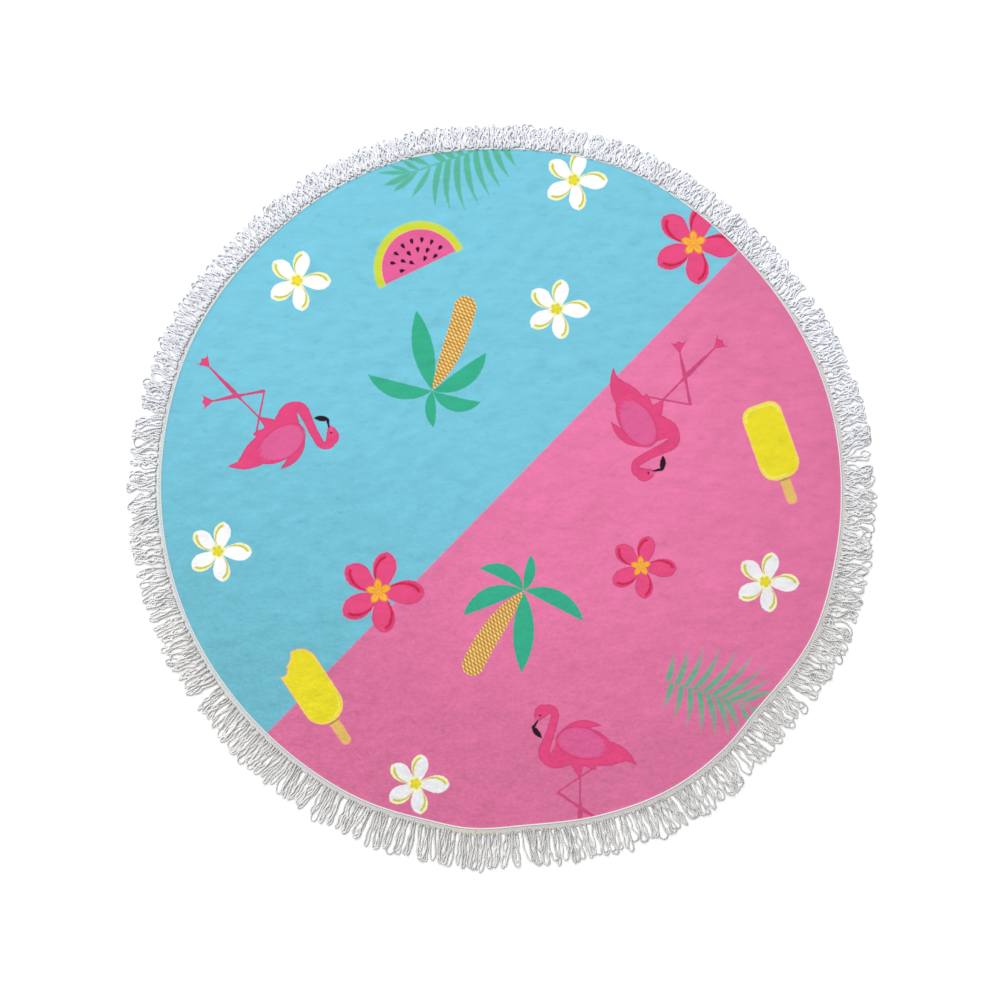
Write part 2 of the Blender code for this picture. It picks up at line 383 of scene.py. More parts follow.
class Wire:
    """One socket's value in a node tree. Arithmetic on it adds Math nodes."""

    __add__, __radd__ = two_sided("ADD")
    __sub__, __rsub__ = two_sided("SUBTRACT")
    __mul__, __rmul__ = two_sided("MULTIPLY")
    __truediv__, __rtruediv__ = two_sided("DIVIDE")
    __pow__, __rpow__ = two_sided("POWER")
    __abs__ = one_sided("ABSOLUTE")
    sine = one_sided("SINE")
    cosine = one_sided("COSINE")
    root = one_sided("SQRT")
    rounded = one_sided("ROUND")

    def __init__(self, socket):
        self.socket = socket

    def node(self, kind, settings=None, sockets=None, output=0):
        """Adds a node: its settings first, then its sockets' values or wires."""
        tree = self.socket.id_data
        made = tree.nodes.new(kind)
        for name, value in (settings or {}).items():
            setattr(made, name, value)
        for name, value in (sockets or {}).items():
            if isinstance(value, Wire):
                tree.links.new(value.socket, made.inputs[name])
            else:
                made.inputs[name].default_value = value
        return Wire(made.outputs[output])

    def maths(self, operation, *values, clamp=False):
        settings = {"operation": operation, "use_clamp": clamp}
        return self.node("ShaderNodeMath", settings, dict(enumerate(values)))

    def vector(self, operation, *values, output="Vector"):
        settings = {"operation": operation}
        return self.node("ShaderNodeVectorMath", settings, dict(enumerate(values)), output)

    def parts(self):
        """The x and y of a vector."""
        x = self.node("ShaderNodeSeparateXYZ", {}, {0: self})
        return x, Wire(x.socket.node.outputs["Y"])

    def __neg__(self):
        return self.maths("MULTIPLY", self, -1.0)

    def clamped(self):
        return self.maths("ADD", self, 0.0, clamp=True)

    def from_to(self, low, high):
        """0 at low, 1 at high, and no further."""
        return self.maths("MULTIPLY_ADD", self, 1 / (high - low), low / (low - high), clamp=True)


def linear(red, green, blue):
    """A screen colour of 0 to 255 as linear light."""
    shares = [c / 255 for c in (red, green, blue)]
    return tuple(s / 12.92 if s <= 0.04045 else ((s + 0.055) / 1.055) ** 2.4 for s in shares)


def mixed(share, low, high):
    """Colour low where share is 0, and high where it is 1."""
    low, high = (c if isinstance(c, Wire) else (*c, 1.0) for c in (low, high))
    sockets = {"Factor": share, MIX_LOW: low, MIX_HIGH: high}
    return share.node("ShaderNodeMix", {"data_type": "RGBA"}, sockets, MIX_RESULT)


def scaled(vector, amount):
    """A vector or colour times an amount."""
    sockets = {"Vector": vector, "Scale": amount}
    return amount.node("ShaderNodeVectorMath", {"operation": "SCALE"}, sockets, "Vector")


def noise(place, size, detail=2.0, stretch=(1, 1, 1), rough=0.5, output="Fac"):
    """Cloudy noise with blobs of about this size, in the units of place."""
    moved = place.vector("MULTIPLY", place, tuple(s / size for s in stretch))
    sockets = {"Vector": moved, "Scale": 1.0, "Detail": detail, "Roughness": rough}
    return place.node("ShaderNodeTexNoise", {}, sockets, output)


def distance(p, x, y):
    """Distance from a point (x, y)."""
    return p.vector("DISTANCE", p, (x, y, 0.0), output="Value")


def union(first, *others):
    """The distance outside all of the shapes together."""
    for other in others:
        first = first.maths("MINIMUM", first, other)
    return first


def overlap(first, *others):
    """The distance outside what the shapes have in common."""
    for other in others:
        first = first.maths("MAXIMUM", first, other)
    return first


def past_line(p, x, y, heading_deg):
    """Distance past the line through a point, on the side that the heading points to."""
    way = (math.cos(math.radians(heading_deg)), math.sin(math.radians(heading_deg)), 0.0)
    return p.vector("DOT_PRODUCT", p, way, output="Value") - (x * way[0] + y * way[1])


def oval(p, x, y, long, wide, turn_deg=0.0):
    """Distance outside an ellipse: its stretched radius less 1, times its lesser half-width."""
    sockets = {
        "Vector": p,
        "Location": (x, y, 0.0),
        "Rotation": (0.0, 0.0, math.radians(turn_deg)),
        "Scale": (long, wide, 1.0),
    }
    q = p.node("ShaderNodeMapping", {"vector_type": "TEXTURE"}, sockets)
    return (q.vector("LENGTH", q, output="Value") - 1.0) * min(long, wide)


def arc_centre(start, end, bulge):
    """Centre and signed radius of the arc from start to end that bows out to the left by bulge."""
    way = np.subtract(end, start)
    half = np.hypot(*way) / 2
    left = np.array([-way[1], way[0]]) / (2 * half)
    radius = (half**2 + bulge**2) / (2 * bulge)
    centre = np.add(start, end) / 2 + left * (bulge - radius)
    return tuple(map(float, centre)), float(radius)


def bow(p, start, end, bulge):
    """Distance to the left of such an arc."""
    centre, radius = arc_centre(start, end, bulge)
    out = distance(p, *centre) - abs(radius)
    return out if radius > 0 else -out


def blade(p, leaf):
    """Distance outside the shape between two arcs that share their ends."""
    left = bow(p, leaf.start, leaf.end, leaf.left)
    right = bow(p, leaf.end, leaf.start, leaf.right)
    return overlap(left, right)


def stroke(p, start, end, half_start, half_end):
    """Distance outside a straight stroke with round ends, whose half-width changes evenly."""
    way = np.subtract(end, start).astype(float)
    start3, way3 = (*map(float, start), 0.0), (*way, 0.0)
    gone = p.vector("SUBTRACT", p, start3)
    t = gone.vector("DOT_PRODUCT", gone, way3, output="Value")
    t = t.maths("MULTIPLY", t, 1 / float(way @ way), clamp=True)
    far = gone.vector("DISTANCE", gone, scaled(way3, t), output="Value")
    return far - (t * (half_end - half_start) + half_start)


def hoop(p, x, y, radius, half):
    """Distance outside a ring of this half-width."""
    return abs(distance(p, x, y) - radius) - half


def blades(p, leaves):
    return union(*(blade(p, leaf) for leaf in leaves))


def strokes(p, lines):
    return union(*(stroke(p, *line) for line in lines))


def printed(ground, *layers):
    """The ground with layers over it, each (colour, shape, width of its soft edge).

    A layer's colour shows where its shape is negative. The softness may be left out.
    """
    for colour, shape, *soft in layers:
        edge = (soft or [PRINT_SOFT])[0] / 2
        ground = mixed(shape.from_to(edge, -edge), ground, colour)
    return ground


# ---------------------------------------------------------------- print


def folded(x, y, count, turn_deg=0.0, spread=0.0):
    """A point turned into the sector around +x of a figure with this many equal sectors.

    spread moves the sectors' middles away from +x, by shares of it that are sines of their angles,
    and turns those on the far side a little clockwise.
    Returns the point's vector, its x and its y.
    """
    far = (x * x + y * y).root()
    angle = x.maths("ARCTAN2", y, x) - math.radians(turn_deg)
    evened = angle
    if spread:
        sine = y / (far + 0.01)
        evened = angle - spread * (sine + 0.6 * sine * sine * sine)
    middle = (evened * (count / TAU)).rounded() * (TAU / count)
    if spread:
        lean = 1.13 * middle.sine() + 0.55 * (middle * 2.0).sine() + 0.22 * middle.cosine() - 0.22
        middle = middle + spread * lean
    turned = angle - middle
    along, aside = far * turned.cosine(), far * turned.sine()
    return x.node("ShaderNodeCombineXYZ", {}, {0: along, 1: aside}), along, aside


def petals(x, y, rim, crease):
    """Distances outside the five petals, the crease in each petal's left half, and the band past it.

    A petal is an oval run together with a pointed blade. The crease is what one oval covers of the
    petal's left half and the same oval, moved inwards, does not.
    """
    grown = x * x / (x * x + y * y + 1.0) * FLOWER_STRETCH + 1.0
    q, _, left = folded(x / grown, y / grown, FLOWER_PETALS, spread=0.125)
    length = FLOWER_PETAL
    full = oval(q, 0.625 * length, 0.0, 0.352 * length, 0.272 * length)
    tip = blade(q, Leaf((0.03 * length, 0.0), (0.99 * length, 0.0), 0.22 * length, 0.22 * length))
    petal = full.maths("SMOOTH_MIN", full, tip, 4.0)
    long, wide = 0.375 * length, 0.25 * length
    outer = oval(q, 0.535 * length, -rim * length, long, wide)
    inner = oval(q, (0.535 - 0.9 * crease) * length, (-rim - crease) * length, long, wide)
    return petal, overlap(petal, outer, -inner, -left), overlap(petal, -outer, -left)


def white_flower(ground, p, x, y, hues, petal_hue=None):
    petal, crease, band = petals(x, y, 0.024, 0.055)
    _, along, aside = folded(x + 3.0, y - 1.0, FLOWER_PETALS, 70)
    far = (along * along + aside * aside).root()
    lobes = ((along - 7.4) * (along - 7.4) + aside * aside).root() - 4.4
    return printed(
        ground,
        (petal_hue or hues.petal, petal),
        (hues.petal_rim, band, 2.4),
        (hues.petal_crease, crease, 1.8),
        (hues.petal_rim, overlap(far - 14.0, petal), 7.0),
        (hues.flower_eye_dark, lobes, 2.0),
        (hues.flower_eye, far - 6.5, 3.0),
    )


def shaded_flower(ground, p, x, y, hues):
    return white_flower(ground, p, x, y, hues, hues.petal_shaded)


def pink_flower(ground, p, x, y, hues):
    petal, crease, band = petals(x, y, 0.012, 0.056)
    q, along, aside = folded(x + 3.0, y - 1.5, FLOWER_PETALS, 23)
    lobe = union(oval(q, 10.3, 0.0, 7.8, 5.2), along - 5.0)
    vein = overlap(abs(aside) - 0.5, abs(along - 6.5) - 4.0)
    return printed(
        ground,
        (hues.pink_petal_halo, petal - 1.2, 2.6),
        (hues.pink_petal_edge, petal - 0.3),
        (hues.pink_petal, petal + 1.1),
        (hues.pink_petal_band, band, 2.0),
        (hues.pink_petal_crease, crease, 1.6),
        (hues.star_line, lobe - 0.9),
        (hues.star, lobe + 0.5),
        (hues.star_line, vein, 1.4),
    )


def palm(ground, p, x, y, hues):
    """Five leaves, and a trunk over them that follows an arc and is set with slanting scales."""
    crown = union(distance(p, 0, 0) - 2.6, blades(p, PALM_LEAVES))
    colour = printed(ground, (hues.palm_leaf, crown))
    centre, radius = arc_centre(TRUNK.start, TRUNK.end, TRUNK.left)
    across = abs(distance(p, *centre) - abs(radius))
    way = np.subtract(TRUNK.end, TRUNK.start)
    length = float(np.hypot(*way))
    heading = math.degrees(math.atan2(way[1], way[0]))
    along = past_line(p, *TRUNK.start, heading)
    left = (1.0 - along * (1 / length)).clamped()
    half = (1.0 - left**3.4) * (TRUNK.right + 0.5)
    foot = distance(p, *TRUNK.end) - TRUNK.right
    trunk = union(overlap(across - half, -along, along - length), foot)
    first, second = (((x * right + y * up) * TAU).cosine() for right, up in BARK_WAVES)
    scale = (first + second).from_to(-0.5, 1.3)
    colour = mixed(scale * (trunk + 0.8).from_to(2.4, 0.0), colour, hues.bark_halo)
    return printed(colour, (mixed(scale, hues.bark_line, hues.bark), trunk))


def webbed_foot(p, x, y, heading_deg):
    """Distance outside a wedge that opens from (x, y), scooped between three toes."""
    out = past_line(p, x, y, heading_deg)
    aside = abs(past_line(p, x, y, heading_deg + 90))
    scoop = ((aside - 8.0) ** 2 + (out - 25.0) ** 2).root() - 7.0
    return overlap(aside - 1.3 - out * 0.66, out - 21.5, -out, -scoop)


def flamingo(ground, p, x, y, hues):
    """Torso, tail and chest run softly into a hooked neck. Head, legs and webbed feet join them."""
    torso = oval(p, -2, -1, 58, 39, -12)
    tail = union(blades(p, FLAMINGO_TAIL), oval(p, 54, -17, 32, 13, -17))
    chest = oval(p, -55, -20, 38, 21, -6)
    head = overlap(distance(p, -84, 66.5) - 17.8, past_line(p, -84, 56.4, -54.2))
    face = stroke(p, (-97, 61), (-96, 50), 6.0, 2.6)
    arch = overlap(hoop(p, -76, 61, 16, 8.2), past_line(p, -77, 0, 180), past_line(p, 0, 54, -90))
    bend = overlap(hoop(p, -58, -9, 24, 11.4), past_line(p, -46, 0, 0), past_line(p, 0, 1, 90))
    neck = union(arch, strokes(p, FLAMINGO_NECK), bend)
    feet = union(webbed_foot(p, -11, -205, -93), webbed_foot(p, 32, -151, -38))
    body = chest.maths("SMOOTH_MIN", union(torso, tail, chest), neck, 5.0)
    body = union(body, blade(p, FLAMINGO_BACK), head, face, strokes(p, FLAMINGO_THIGHS), feet)
    body = overlap(body, -blade(p, FLAMINGO_NOTCH))
    feather = (y - x * 0.35).maths("PINGPONG", y - x * 0.35, 5.0)
    wing = oval(p, -6, 7, 48, 29, -11) + x.from_to(8.0, 40.0) * (feather * 0.7 - 1.0 + y * 0.12)
    rim = overlap(abs(wing - 2.4) - 0.9, x - 34.0)
    bill = union(stroke(p, (-95, 52), (-103.5, 39), 1.3, 3.4), blade(p, FLAMINGO_BILL))
    return printed(
        ground,
        (hues.flamingo_leg, strokes(p, FLAMINGO_LEGS)),
        (hues.flamingo_line, body),
        (hues.flamingo, body + 1.7, 2.6),
        (hues.flamingo_wing, wing, 4.5),
        (hues.flamingo_line, rim, 2.4),
        (hues.flamingo_wing, oval(p, -97, 55, 6.5, 3.6, 60), 3.0),
        (hues.bill, bill),
        (hues.bill, distance(p, -90.6, 62) - 1.9),
    )


def melon(ground, p, x, y, hues):
    """Half a disc of flesh in its rind, its seeds on rings as drops at even angles."""
    far = p.vector("LENGTH", p, output="Value")
    angle = x.maths("ARCTAN2", y, x) * (180 / math.pi)
    below = -y
    rind = far.maths("SMOOTH_MAX", far - MELON_RIND, below - 3.0, 9.0)
    seam = overlap(below - 3.6, -below, far - MELON_FLESH)
    seeds = []
    for ring in SEED_RINGS:
        place = (angle - ring.middle_deg) / ring.spacing_deg
        half = 0.5 * (ring.seeds % 2 == 0)
        nearest = (place - half).rounded() + half
        end = (ring.seeds - 1) / 2
        nearest = nearest.maths("MINIMUM", nearest.maths("MAXIMUM", nearest, -end), end)
        side = (place - nearest) * (math.radians(ring.spacing_deg) * ring.radius_mm)
        out = far - ring.radius_mm
        width = (3.3 + 0.26 * out).maths("MAXIMUM", 3.3 + 0.26 * out, 1.0)
        seeds.append(((side / width) ** 2 + (out / 5.8) ** 2).root() * 3.4 - 3.4)
    return printed(
        ground,
        (hues.rind_edge, rind, 3.4),
        (hues.rind, rind + 3.4, 5.5),
        (hues.rind_line, overlap(far - MELON_FLESH - 1.4, below)),
        (ground, seam, 1.0),
        (hues.melon, overlap(far - MELON_FLESH, below)),
        (hues.seed, union(*seeds), 1.4),
    )


def ice_bar(x, y, half_high, head_round, foot_round):
    """Distance outside an upright bar with its own rounding at each end."""
    corner = foot_round + (head_round - foot_round) * y.from_to(-20, 20)
    over_x = abs(x) - ICE_HALF_WIDE + corner
    over_y = abs(y) - half_high + corner
    past_x, past_y = x.maths("MAXIMUM", over_x, 0.0), x.maths("MAXIMUM", over_y, 0.0)
    inside = x.maths("MINIMUM", x.maths("MAXIMUM", over_x, over_y), 0.0)
    return (past_x * past_x + past_y * past_y).root() + inside - corner


def lolly_bar(ground, p, bar, gleam, hues):
    """A bar in its pale border, with a gleam inside its edge, on its stick."""
    rod = stroke(p, (0, -70), (0, -123), 10.8, 10.8)
    line = mixed(bar.from_to(2.5, -2.5), ground, hues.ice_line)
    border = mixed(bar.from_to(3.0, -2.5), ground, hues.ice_border)
    return printed(
        ground,
        (hues.stick_line, rod),
        (hues.stick, rod + 2.6, 2.6),
        (hues.stick_shade, overlap(rod, bar - 3.0), 2.4),
        (line, bar),
        (border, bar + 1.2),
        (hues.ice, bar + 4.0, 2.4),
        (hues.ice_gleam, gleam, 4.4),
    )


def lolly(ground, p, x, y, hues):
    bar = ice_bar(x, y, 80.0, 26.0, 33.0)
    ends = union(52.0 - y, overlap(y + 46.0, x - 8.0))
    return lolly_bar(ground, p, bar, overlap(abs(bar + 8.0) - 2.0, ends), hues)


def bitten_lolly(ground, p, x, y, hues):
    bar = ice_bar(x, y - 2.5, 82.5, 36.0, 40.0)
    bites = union(distance(p, -26, 95) - 30.0, distance(p, -33, 64) - 12.5)
    gleam = overlap(abs(bar + 9.0) - 0.8, 4.0 - x, y + 34.0)
    return lolly_bar(ground, p, overlap(bar, -bites), gleam, hues)


def feather(ground, p, x, y, hues, lean_tip, lean_change, wide, fade):
    """A feathered leaf. Its rib runs along +x from the tip, and its leaflets fan out from it.

    A leaflet's root lies at rib length s. It leans towards the tip by lean_tip - lean_change s for
    each millimetre that it reaches out, and droops back by droop times the square of the reach. So
    a point (x, y) lies on the leaflet with s = (x + lean_tip y - droop y y)/(1 + lean_change y), y
    being taken as positive. The leaflets nearest the tip are blades instead.
    """
    droop = FROND_DROOP
    reach = abs(y)
    spread = 1.0 + lean_change * reach
    root = (x + lean_tip * reach - droop * reach * reach) / spread
    side = y.maths("SIGN", y)
    place = root * (1 / FROND_PITCH) - side * 0.25
    nearest = place.rounded()
    lean = lean_tip - lean_change * FROND_PITCH * nearest - 2 * droop * reach
    steep = 1.0 / (lean * lean + 1.0).root()
    aside = abs(place - nearest) * FROND_PITCH * spread * steep
    middle = nearest * (FROND_PITCH / 110) - 108 / 110
    shorter = 20.0 * nearest.from_to(110 / FROND_PITCH, 70 / FROND_PITCH)
    length = ((1.0 - middle * middle) * 60.0 + 50.0 - shorter) * (0.9 - 0.1 * side)
    t = (reach / (length * steep)).clamped()
    half = (1.0 - t) * (1.0 - t * 0.65) * (t * 4.6 + 0.9) * (4.6 * wide)
    leaflets = overlap(aside - half, (3.6 - nearest) * 20.0, (nearest + side * 0.5 - 10.9) * 20.0)
    leaflets = overlap(leaflets, (t - 0.97) * 60.0)
    rib = stroke(p, (4, 0), (190, 0), 1.6, 1.2)
    q = x.node("ShaderNodeCombineXYZ", {}, {0: x, 1: reach})
    tip = union(blades(p, FROND_TIP), blade(q, FROND_TIP_PAIR))
    leaf = mixed(t.from_to(0.3, 1.0) * fade + 0.12, hues.frond, ground)
    return printed(ground, (leaf, union(leaflets, rib, tip), 3.0))


def frond(ground, p, x, y, hues):
    return feather(ground, p, x, y, hues, 1.65, 0.0078, 1.0, 0.3)


def open_frond(ground, p, x, y, hues):
    return feather(ground, p, x, y, hues, 1.06, 0.0052, 1.12, 0.0)


# Each drawing, and how far it reaches from its own origin
DRAWINGS = {
    "white_flower": Drawing(white_flower, Box(-72, 72, -72, 72)),
    "shaded_flower": Drawing(shaded_flower, Box(-72, 72, -72, 72)),
    "pink_flower": Drawing(pink_flower, Box(-72, 72, -72, 72)),
    "palm": Drawing(palm, Box(-138, 130, -182, 84)),
    "flamingo": Drawing(flamingo, Box(-116, 116, -242, 96)),
    "melon": Drawing(melon, Box(-104, 104, -14, 104)),
    "lolly": Drawing(lolly, Box(-50, 50, -145, 88)),
    "bitten_lolly": Drawing(bitten_lolly, Box(-50, 50, -145, 88)),
    "frond": Drawing(frond, Box(-60, 235, -110, 88)),
    "open_frond": Drawing(open_frond, Box(-60, 235, -110, 88)),
}


# ---------------------------------------------------------------- materials


def new_material(name, roughness, sheen=0.0):
    """A material, and a wire of Object coordinates in millimetres."""
    made = bpy.data.materials.new(name)
    made.use_nodes = True
    tree = made.node_tree
    shader = tree.nodes["Principled BSDF"]
    shader.inputs["Roughness"].default_value = roughness
    shader.inputs["Specular IOR Level"].default_value = 0.15
    shader.inputs["Sheen Weight"].default_value = sheen
    shader.inputs["Sheen Roughness"].default_value = 0.6
    place = Wire(tree.nodes.new("ShaderNodeTexCoord").outputs["Object"])
    return made, place.vector("MULTIPLY", place, (1 / MM, 1 / MM, 1 / MM))


def dressed(made, colour, height=None, strength=0.0, depth_mm=0.0):
    """The material with its colour, and a normal that follows a height of 0 to 1, this deep."""
    tree = made.node_tree
    shader = tree.nodes["Principled BSDF"]
    tree.links.new(colour.socket, shader.inputs["Base Color"])
    if height is not None:
        sockets = {"Height": height, "Strength": strength, "Distance": depth_mm * MM}
        bump = height.node("ShaderNodeBump", {}, sockets, "Normal")
        tree.links.new(bump.socket, shader.inputs["Normal"])
    return made


def uv_place(wire, name):
    """A point's place in a UV map."""
    return wire.node("ShaderNodeUVMap", {"uv_map": name}, {}, "UV")


def printed_pile(name, drawing, hues):
    """Short printed pile: two grounds that meet on a slant, each with painted shade towards one side, one
    motif, and the lie of the pile as grain and painted mottled shade.
    """
    made, mm = new_material(name, 0.92, sheen=0.12)
    fuzz = noise(mm, 5.0, detail=1.0, output="Color")
    fuzz = fuzz.vector("MULTIPLY_ADD", fuzz, (2.2, 2.2, 0.0), (-1.1, -1.1, 0.0))
    near = mm.vector("ADD", mm, fuzz)

    streaks = noise(mm, 26.0, detail=3.0, stretch=(0.5, 1.4, 1.0), rough=0.62)
    clouds = noise(mm, 130.0)
    wisps = noise(mm, 24.0, detail=4.0, stretch=(0.7, 1.3, 1.0), rough=0.68).from_to(0.56, 0.74)
    flecks = noise(mm, 8.0, detail=3.0, stretch=(0.8, 1.2, 1.0), rough=0.7)
    grain = noise(mm, 3.4)

    across = past_line(near, 0.0, 7.0, -44.4)
    low = past_line(mm, 0.0, 0.0, -110).from_to(-180.0, 560.0)
    outer = distance(mm, 190.0, 50.0).from_to(220.0, 620.0)
    # Painted shade: the rose ground darkens away from its middle and the blue ground towards the lower
    # left, mixed with random cloudy tone.
    rose = mixed((outer + clouds * 1.2 - 0.6).clamped(), hues.rose, hues.rose_shaded)
    pool = mixed((low * 1.2 + clouds * 0.8 - 0.6).clamped(), hues.pool, hues.pool_shaded)
    colour = mixed(across.from_to(-2.2, 2.2), pool, rose)
    if drawing is not None:
        local = mm.vector("ADD", uv_place(mm, "motif"), fuzz)
        colour = drawing(colour, local, *local.parts(), hues)

    # shade multiplies the colour: pile grain, stronger lower down and on the rose, and painted mottled
    # shade of crumples, darker in wisps.
    fine = 0.2 + 0.45 * across.from_to(-1.0, 1.0) + 1.1 * low
    fleck = 0.3 * (flecks - 0.5) + 0.14 * (grain - 0.5)
    shade = 1.01 + 0.24 * (streaks - 0.5) + fine * fleck - 0.12 * wisps
    return dressed(made, scaled(colour, shade), 0.72 * streaks + 0.28 * grain, 0.55, 1.6)


def hem_thread(hues):
    """The overlocked edge: bright thread, wound so close that it shows as fine ribs."""
    made, mm = new_material("hem_thread", 0.7)
    grain = noise(mm, 1.1)
    colour = mixed(grain.from_to(0.3, 0.7), hues.thread_dark, hues.thread)
    return dressed(made, colour, grain, 0.5, 0.5)


def plain_back(hues):
    """The unprinted back: white looped cotton in fine rows."""
    made, mm = new_material("plain_back", 0.95)
    rows = noise(mm, 1.8, stretch=(1.0, 0.5, 1.0))
    colour = mixed(rows.from_to(0.25, 0.75), hues.back_dark, hues.back)
    return dressed(made, colour, rows, 0.7, 1.0)


def woven_tape(hues):
    """Heading tape: fine ribs across it, painted shade in its hollows, painted light towards the upper
    left, painted shadow flecks along its outer edge, and a faint yellowing where its ends are lapped.
    """
    made, mm = new_material("woven_tape", 0.88)
    weave = uv_place(mm, "weave")
    along, across = weave.parts()
    weft = 0.5 + 0.5 * (along * (TAU / 2.1)).sine()
    warp = 0.5 + 0.5 * (across * (TAU / 1.6)).sine()
    lint = noise(mm, 2.4, detail=3.0)
    height = 0.45 * weft + 0.25 * warp + 0.3 * lint
    # Painted light: the tape is brighter and cooler towards the upper left.
    top = past_line(mm, 0.0, 0.0, 135).from_to(-300.0, 500.0)
    colour = mixed(height.from_to(0.15, 0.8), hues.tape_dark, mixed(top, hues.tape, hues.tape_lit))
    # Painted shadow: dark flecks along the tape's outer edge, where the loops' roots shade it, left out
    # towards the upper left.
    fleck = noise(weave, 2.6, detail=1.0, stretch=(1.0, 0.4, 1.0)).from_to(0.47, 0.56)
    fleck = fleck * across.from_to(7.2, 8.6) * (1.0 - top)
    colour = mixed(fleck * 0.7, colour, hues.tape_dark)
    x, y, _ = polar(CLOTH_RADIUS + 8 * MM, math.radians(JOIN_ANGLE), 0.0) / MM
    aged = distance(mm, float(x), float(y)).from_to(95.0, 10.0)
    return dressed(made, mixed(0.75 * aged, colour, hues.tape_aged), height, 0.5, 0.6)


def twisted_yarn(hues):
    """Two-ply yarn: slanting ridges round the strand, a little fluff, painted shade in the hollows between
    its plies except towards the top, and a painted light tint, cool towards the top and warm towards the
    bottom.
    """
    made, mm = new_material("twisted_yarn", 0.82, sheen=0.1)
    along, around = uv_place(mm, "yarn").parts()
    ply = abs((along * (math.pi / 3.6) + around * TAU).sine())
    tone = mm.node("ShaderNodeAttribute", {"attribute_name": "tone"}, {}, "Fac")
    height = 0.8 * ply + 0.2 * noise(mm, 1.5)
    # Painted light: a cool tint towards the top and a warm one towards the bottom. The painted shade in the
    # ply hollows fades out towards the top.
    top = past_line(mm, 0.0, 0.0, 90).from_to(-300.0, 300.0)
    yarn = mixed(top, hues.yarn_low, hues.yarn)
    hollow = mixed(top, hues.yarn_dark, yarn)
    colour = mixed(height.from_to(0.0, 0.6), hollow, yarn)
    return dressed(made, scaled(colour, tone), height, 0.45, 0.9)


def floor_paper():
    """The pale floor, with a faint grain."""
    made, mm = new_material("pale_floor", 0.9)
    return dressed(made, mixed(noise(mm, 4.0), (0.93, 0.93, 0.93), (0.95, 0.95, 0.95)))


# ---------------------------------------------------------------- settings


def size_setting(name, description, default):
    return bpy.props.FloatProperty(name=name, description=description, unit="LENGTH", default=default)


def number_setting(name, description, default):
    return bpy.props.FloatProperty(name=name, description=description, default=default)


def count_setting(name, description, default, fewest=0, most=10000):
    return bpy.props.IntProperty(name=name, description=description, default=default, min=fewest, max=most)


def hue(name, description, red, green, blue):
    """A colour property, given as screen values from 0 to 255."""
    return bpy.props.FloatVectorProperty(
        name=name,
        description=description,
        subtype="COLOR",
        size=3,
        min=0.0,
        max=1.0,
        default=linear(red, green, blue),
    )


def ink(name, description, *screen):
    """A print colour, given as the screen values that it has under the stage's light."""
    bright = [255 * (v / STAGE_LIGHT) ** (1 / 2.2) for v in ((c / 255) ** 2.2 for c in screen)]
    return hue(name, description, *bright)


